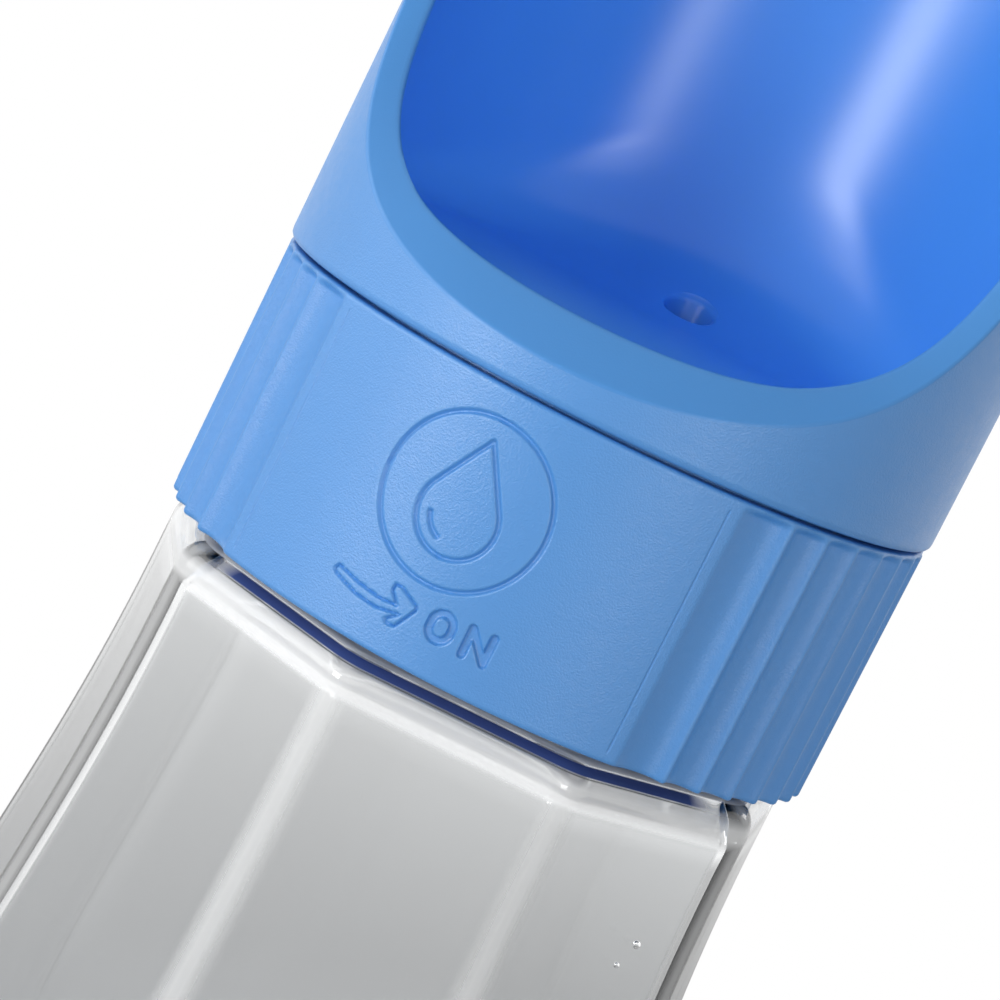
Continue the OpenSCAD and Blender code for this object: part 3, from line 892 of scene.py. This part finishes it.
def corner_r(z):
    t = (BOTTLE_H - z) / (BOTTLE_H - WIDEST_Z)
    swell = SHOULDER_R + SWELL * (1 - math.cos(math.pi * max(t, 0) ** 1.25)) / 2
    slim = SHOULDER_R + SWELL - BASE_SLIM * ((WIDEST_Z - z) / WIDEST_Z) ** 2
    return swell if t < 1 else slim


def side_angles():
    """Angles round the bottle: few on the flat sides, more round each corner."""
    flat = np.linspace(-1, 1, 9) * CORNER_FROM * HALF_SIDE
    corner = np.linspace(CORNER_FROM, 2 - CORNER_FROM, 14)[1:-1] * HALF_SIDE
    one = np.concatenate([flat, corner])
    return np.concatenate([one + i * 2 * HALF_SIDE + SIDE_TURN for i in range(SIDES)])


def nine_sided(a, flat, fillet):
    """Radius of a nine-sided outline with rounded corners."""
    d = np.abs(np.mod(a - SIDE_TURN + HALF_SIDE, 2 * HALF_SIDE) - HALF_SIDE)
    centre = (flat - fillet) / math.cos(HALF_SIDE)
    b = HALF_SIDE - d
    rounded = centre * np.cos(b) + np.sqrt(np.maximum(fillet ** 2 - (centre * np.sin(b)) ** 2, 0))
    on_flat = flat * np.tan(d) < (flat - fillet) * math.tan(HALF_SIDE)
    return np.where(on_flat, flat / np.cos(d), rounded)


def flat_at(z, fillet):
    """Distance of the flat sides when the rounded corners reach the stated radius."""
    return corner_r(z) * math.cos(HALF_SIDE) + fillet * (1 - math.cos(HALF_SIDE))


def thread_height(a, z, start, turns):
    """Height of the thread's ridge on the neck, with tapered ends."""
    height = np.zeros(np.broadcast(a, z).shape)
    for k in range(math.ceil(turns)):
        run = np.mod(a, 2 * math.pi) + 2 * math.pi * k
        centre = start + THREAD_LEAD * run / (2 * math.pi)
        left = turns * 2 * math.pi - run
        ends = smooth_step(run / THREAD_TAPER) * smooth_step(left / THREAD_TAPER)
        ridge = smooth_step((THREAD_HALF - np.abs(z - centre)) / THREAD_SIDE)
        height = np.maximum(height, ridge * ends)
    return height


def arc(cx, cy, r, start, end, steps):
    t = np.radians(np.linspace(start, end, steps + 1))
    return [(cx + r * math.cos(x), cy + r * math.sin(x)) for x in t]


def nine_ring(a, z, inset, fillet, flat_z):
    """A nine-sided ring at height z, inset from the outline that the bottle has at flat_z."""
    return polar(nine_sided(a, flat_at(flat_z, fillet) - inset, fillet), a, z)


def outer_rings(a):
    """The bottle's skin from the middle of its base up and over the mouth."""
    top = BOTTLE_H - SHOULDER_SOFT
    rings = [round_ring(a, r, z) for r, z in (
        (1, PUSH_UP_H), (12, 1.9), (PUSH_UP_R - 5, 1.65), (PUSH_UP_R - 3, 1.45),
        (PUSH_UP_R - 1.2, 0.8), (PUSH_UP_R - 0.3, 0.2), (PUSH_UP_R + 0.2, 0.0))]
    rings += [nine_ring(a, z, BASE_SOFT - x, OUT_FILLET, BASE_SOFT)
              for x, z in arc(0, BASE_SOFT, BASE_SOFT, -90, 0, 8)]
    rings += [nine_ring(a, z, 0, OUT_FILLET, z) for z in np.linspace(BASE_SOFT, top, 44)[1:-1]]
    rings += [nine_ring(a, z, SHOULDER_SOFT - x, OUT_FILLET, top)
              for x, z in arc(0, top, SHOULDER_SOFT, 0, 90, 8)]
    rings += [round_ring(a, r, BOTTLE_H + rise)
              for r, rise in ((29.5, 0), (28.0, 0.05), (27.4, 0.3), (27.1, 0.7))]
    for z in np.arange(BOTTLE_H + 1.1, NECK_TOP - 0.7, 0.3):
        thread = THREAD_RISE * thread_height(a, z, THREAD_START, THREAD_TURNS)
        rings.append(polar(NECK_R + thread, a, z))
    bore, lip = NECK_R - NECK_WALL, LIP_SOFT
    rings += [round_ring(a, r, z) for r, z in arc(NECK_R - lip, NECK_TOP - lip, lip, 0, 90, 4)]
    rings += [round_ring(a, r, z) for r, z in arc(bore + lip, NECK_TOP - lip, lip, 90, 180, 4)]
    return rings


def inner_rings(a):
    """The skin from the mouth down inside to the middle of the floor."""
    bore = NECK_R - NECK_WALL
    low = BOTTLE_H - BOTTLE_WALL
    in_top = low - SHOULDER_SOFT
    floor = BOTTLE_WALL + PUSH_UP_H
    rings = [round_ring(a, bore, z) for z in np.linspace(NECK_TOP - 1.5, BOTTLE_H - 1, 8)]
    rings += [round_ring(a, bore + dr, low + dz) for dr, dz in ((0.3, 0.5), (0.9, 0.1), (2.5, 0))]
    rings += [nine_ring(a, z, BOTTLE_WALL + SHOULDER_SOFT - x, IN_FILLET, in_top)
              for x, z in arc(0, in_top, SHOULDER_SOFT, 90, 0, 8)]
    rings += [nine_ring(a, z, BOTTLE_WALL, IN_FILLET, z)
              for z in np.linspace(in_top, floor + BASE_SOFT, 40)[1:-1]]
    rings += [nine_ring(a, z, BOTTLE_WALL + BASE_SOFT - x, IN_FILLET, floor + BASE_SOFT)
              for x, z in arc(0, floor + BASE_SOFT, BASE_SOFT, 0, -90, 8)]
    return rings + [round_ring(a, r, floor) for r in (24, 12, 1)]


BUBBLES = ((59.4, 35.6, 85.1, 0.42), (57.2, 35.6, 82.6, 0.30))   # angle, radius, height, size


def air_bubble(a, r, z, size):
    """A small closed void in the wall: its skin faces inwards."""
    t = np.linspace(0, math.pi, 10)[1:-1]
    ring = np.linspace(0, 2 * math.pi, 14, endpoint=False)
    centre = polar(r, math.radians(a), z)
    rings = centre + size * np.stack([
        np.sin(t)[:, None] * np.cos(ring), np.sin(t)[:, None] * np.sin(ring),
        np.broadcast_to(-np.cos(t)[:, None], (len(t), len(ring)))], axis=-1)
    points, faces = loft(rings)
    return points, [face[::-1] for face in faces]


def make_bottle():
    a = side_angles()
    outer = outer_rings(a)
    skin = loft(outer + inner_rings(a))
    points, faces = join([skin] + [air_bubble(*bubble) for bubble in BUBBLES])
    outside = len(outer) * len(a)
    slots = [0] * outside + [1] * (len(faces) - outside)
    return add_piece("clear_bottle", points, faces, [CLEAR, CLEAR_INSIDE], slots, sharp=60)


ride(make_bottle(), "bottle", "clear_plastic", "bottle")


def skirt_thread():
    """The thread inside the valve base, half a lead above the neck's own."""
    count = 150
    run = np.linspace(0, THREAD_TURNS * 2 * math.pi, count)
    z = THREAD_START + THREAD_LEAD / 2 + THREAD_LEAD * run / (2 * math.pi)
    rise = smooth_step(run / CAP_TAPER) * smooth_step((run[-1] - run) / CAP_TAPER)
    outline = ((CAP_FOOT, -1.1), (CAP_RIDGE, -0.4), (CAP_RIDGE, 0.4), (CAP_FOOT, 1.1))
    rings = np.stack([polar(CAP_FOOT + (r - CAP_FOOT) * rise, run, z + dz)
                      for r, dz in outline], axis=1)
    points, faces = loft(rings)
    return add_piece("cap_thread", points, faces, [SATIN])


ride(skirt_thread(), "head", "blue_satin_plastic")

# -------------------------------------------------- finish of the plain nodes


def finish_node(name, material):
    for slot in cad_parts[name].material_slots:
        slot.material = material


finish_node("valve_base", SATIN)
finish_node("valve_disc", PALE)
for seal in ("neck_gasket", "base_port_seal", "bowl_port_seal"):
    finish_node(seal, WHITE_SILICONE)
for place in ("rear", "left", "right"):
    finish_node("screw_" + place, STEEL)
    finish_node("screw_seal_" + place, DARK_RUBBER)

# ------------------------------------------------------------ floor and light

FLOOR_FADE = (0.06, 0.20)     # where the floor turns plain white for the camera, in metres
GLASS_FADE = (0.21, 0.58)     # the same, seen in or through the clear plastic
GLASS_CENTRE = (0.14, 0.10, 0)  # the middle of the grey that the plastic shows
FLOOR_SIZE = 4000.0
LAMP_AIM = 0.13               # the height that the lamps look at, in metres
WORLD_LIGHT = 0.24


def fade_over(m, centre, reach, start=0.0):
    """From start to 1 over a range of distances from a place on the floor."""
    span = m.add("ShaderNodeVectorMath", {1: centre}, operation="DISTANCE")
    m.link(m.place, span.inputs[0])
    return m.ramp(span.outputs["Value"], reach[0], reach[1], start, 1)


def stage_material():
    """A pale floor that keeps the shadow near the object and is plain white further out."""
    m = Nodes("floor")
    m.set(Base_Color=(0.86, 0.86, 0.86, 1), Roughness=0.8, Specular_IOR_Level=0.1)
    path = m.add("ShaderNodeLightPath").outputs
    glass = m.math("MAXIMUM", path["Is Glossy Ray"], path["Is Transmission Ray"])
    direct = m.math("MULTIPLY", path["Is Camera Ray"], fade_over(m, (0, 0, 0), FLOOR_FADE, 0.5))
    through = m.math("MULTIPLY", glass, fade_over(m, GLASS_CENTRE, GLASS_FADE))
    share = m.math("MAXIMUM", direct, through)
    white = m.add("ShaderNodeEmission", {"Color": (1, 1, 1, 1), "Strength": 1.0})
    mix = m.add("ShaderNodeMixShader")
    m.link(share, mix.inputs[0])
    m.link(m.shader.outputs[0], mix.inputs[1])
    m.link(white.outputs[0], mix.inputs[2])
    m.link(mix.outputs[0], m.tree.nodes["Material Output"].inputs["Surface"])
    return m.material


def add_stage():
    corners = [(x * FLOOR_SIZE, y * FLOOR_SIZE, 0) for x, y in ((-1, -1), (1, -1), (1, 1), (-1, 1))]
    floor = add_piece("floor", corners, [(0, 1, 2, 3)], [stage_material()])


def add_softbox(name, turn, distance, height, width, tall, radiance):
    """A soft lamp that looks at the bowl's seam. turn counts from the front towards +X."""
    data = bpy.data.lights.new(name, "AREA")
    data.shape, data.size, data.size_y = "RECTANGLE", width, tall
    data.energy = radiance * math.pi * width * tall
    lamp = bpy.data.objects.new(name, data)
    bpy.context.scene.collection.objects.link(lamp)
    a = math.radians(turn)
    lamp.location = (distance * math.sin(a), -distance * math.cos(a), height)
    away = Vector((0, 0, LAMP_AIM)) - lamp.location
    lamp.rotation_euler = away.to_track_quat("-Z", "Y").to_euler()


def add_world():
    """Weak even light for the shapes, and plain white where the camera or the gloss sees it."""
    world = bpy.data.worlds.new("studio")
    world.use_nodes = True
    tree = world.node_tree
    path = tree.nodes.new("ShaderNodeLightPath").outputs
    seen = tree.nodes.new("ShaderNodeMath")
    seen.operation = "MAXIMUM"
    tree.links.new(path["Is Camera Ray"], seen.inputs[0])
    tree.links.new(path["Is Transmission Ray"], seen.inputs[1])
    glossy = tree.nodes.new("ShaderNodeMath")
    glossy.operation = "MAXIMUM"
    tree.links.new(seen.outputs[0], glossy.inputs[0])
    tree.links.new(path["Is Glossy Ray"], glossy.inputs[1])
    strength = tree.nodes.new("ShaderNodeMapRange")
    strength.inputs["To Min"].default_value = WORLD_LIGHT
    tree.links.new(glossy.outputs[0], strength.inputs["Value"])
    back = tree.nodes["Background"]
    back.inputs["Color"].default_value = (1, 1, 1, 1)
    tree.links.new(strength.outputs["Result"], back.inputs["Strength"])
    bpy.context.scene.world = world


# Name, turn in degrees, then distance, height, width and own height in metres, and
# radiance.
LAMPS = (
    ("strip_left", -31, 1.2, 0.17, 0.34, 0.24, 16.0),
    ("strip_right", 43, 1.2, 0.18, 0.26, 0.22, 8.0),
    ("softbox_left", -45, 1.2, 0.42, 0.60, 0.50, 3.2),
    ("softbox_right", 38, 1.2, 0.42, 0.50, 0.50, 2.0),
    ("softbox_far_left", -76, 1.0, 0.40, 0.60, 0.70, 2.0),
    ("softbox_back", 160, 1.2, 0.75, 0.70, 0.50, 2.2))

add_stage()
add_world()
for lamp_values in LAMPS:
    add_softbox(*lamp_values)
bpy.context.scene.view_settings.view_transform = "Standard"
